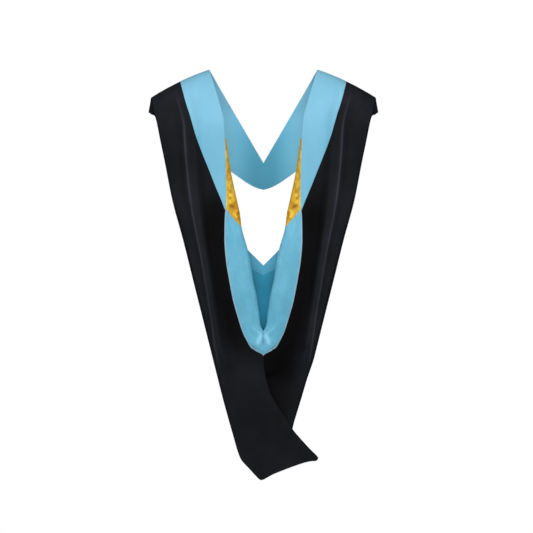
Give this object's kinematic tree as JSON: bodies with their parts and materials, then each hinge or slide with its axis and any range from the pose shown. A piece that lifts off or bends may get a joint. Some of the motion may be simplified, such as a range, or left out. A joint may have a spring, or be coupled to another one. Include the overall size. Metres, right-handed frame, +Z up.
{
  "type": "academic hood",
  "caption": "Lined black hood worn over the shoulders, with a light blue V band on the chest, gold and blue satin turned out at the back and a tail turned to one side.",
  "frame": {"origin": "midway between the two points where the hood crosses the sides of the neck, on top of the shoulders", "axes": "+Z up, -Y towards the wearer's back and the view of the picture, +X to the right in that view"},
  "size_m": [0.5772, 0.2686, 1.031],
  "materials": {
    "black_cloth": "matt plain weave",
    "blue_band": "smooth matt",
    "gold_satin": "satin",
    "blue_satin": "satin"
  },
  "bodies": {
    "root": {"shell_left": "black_cloth", "shell_right": "black_cloth", "trim_left": "blue_band", "trim_right": "blue_band", "lining_gold_left": "gold_satin", "lining_gold_right": "gold_satin", "lining_blue_left": "blue_satin", "lining_blue_right": "blue_satin"}
  },
  "joints": []
}
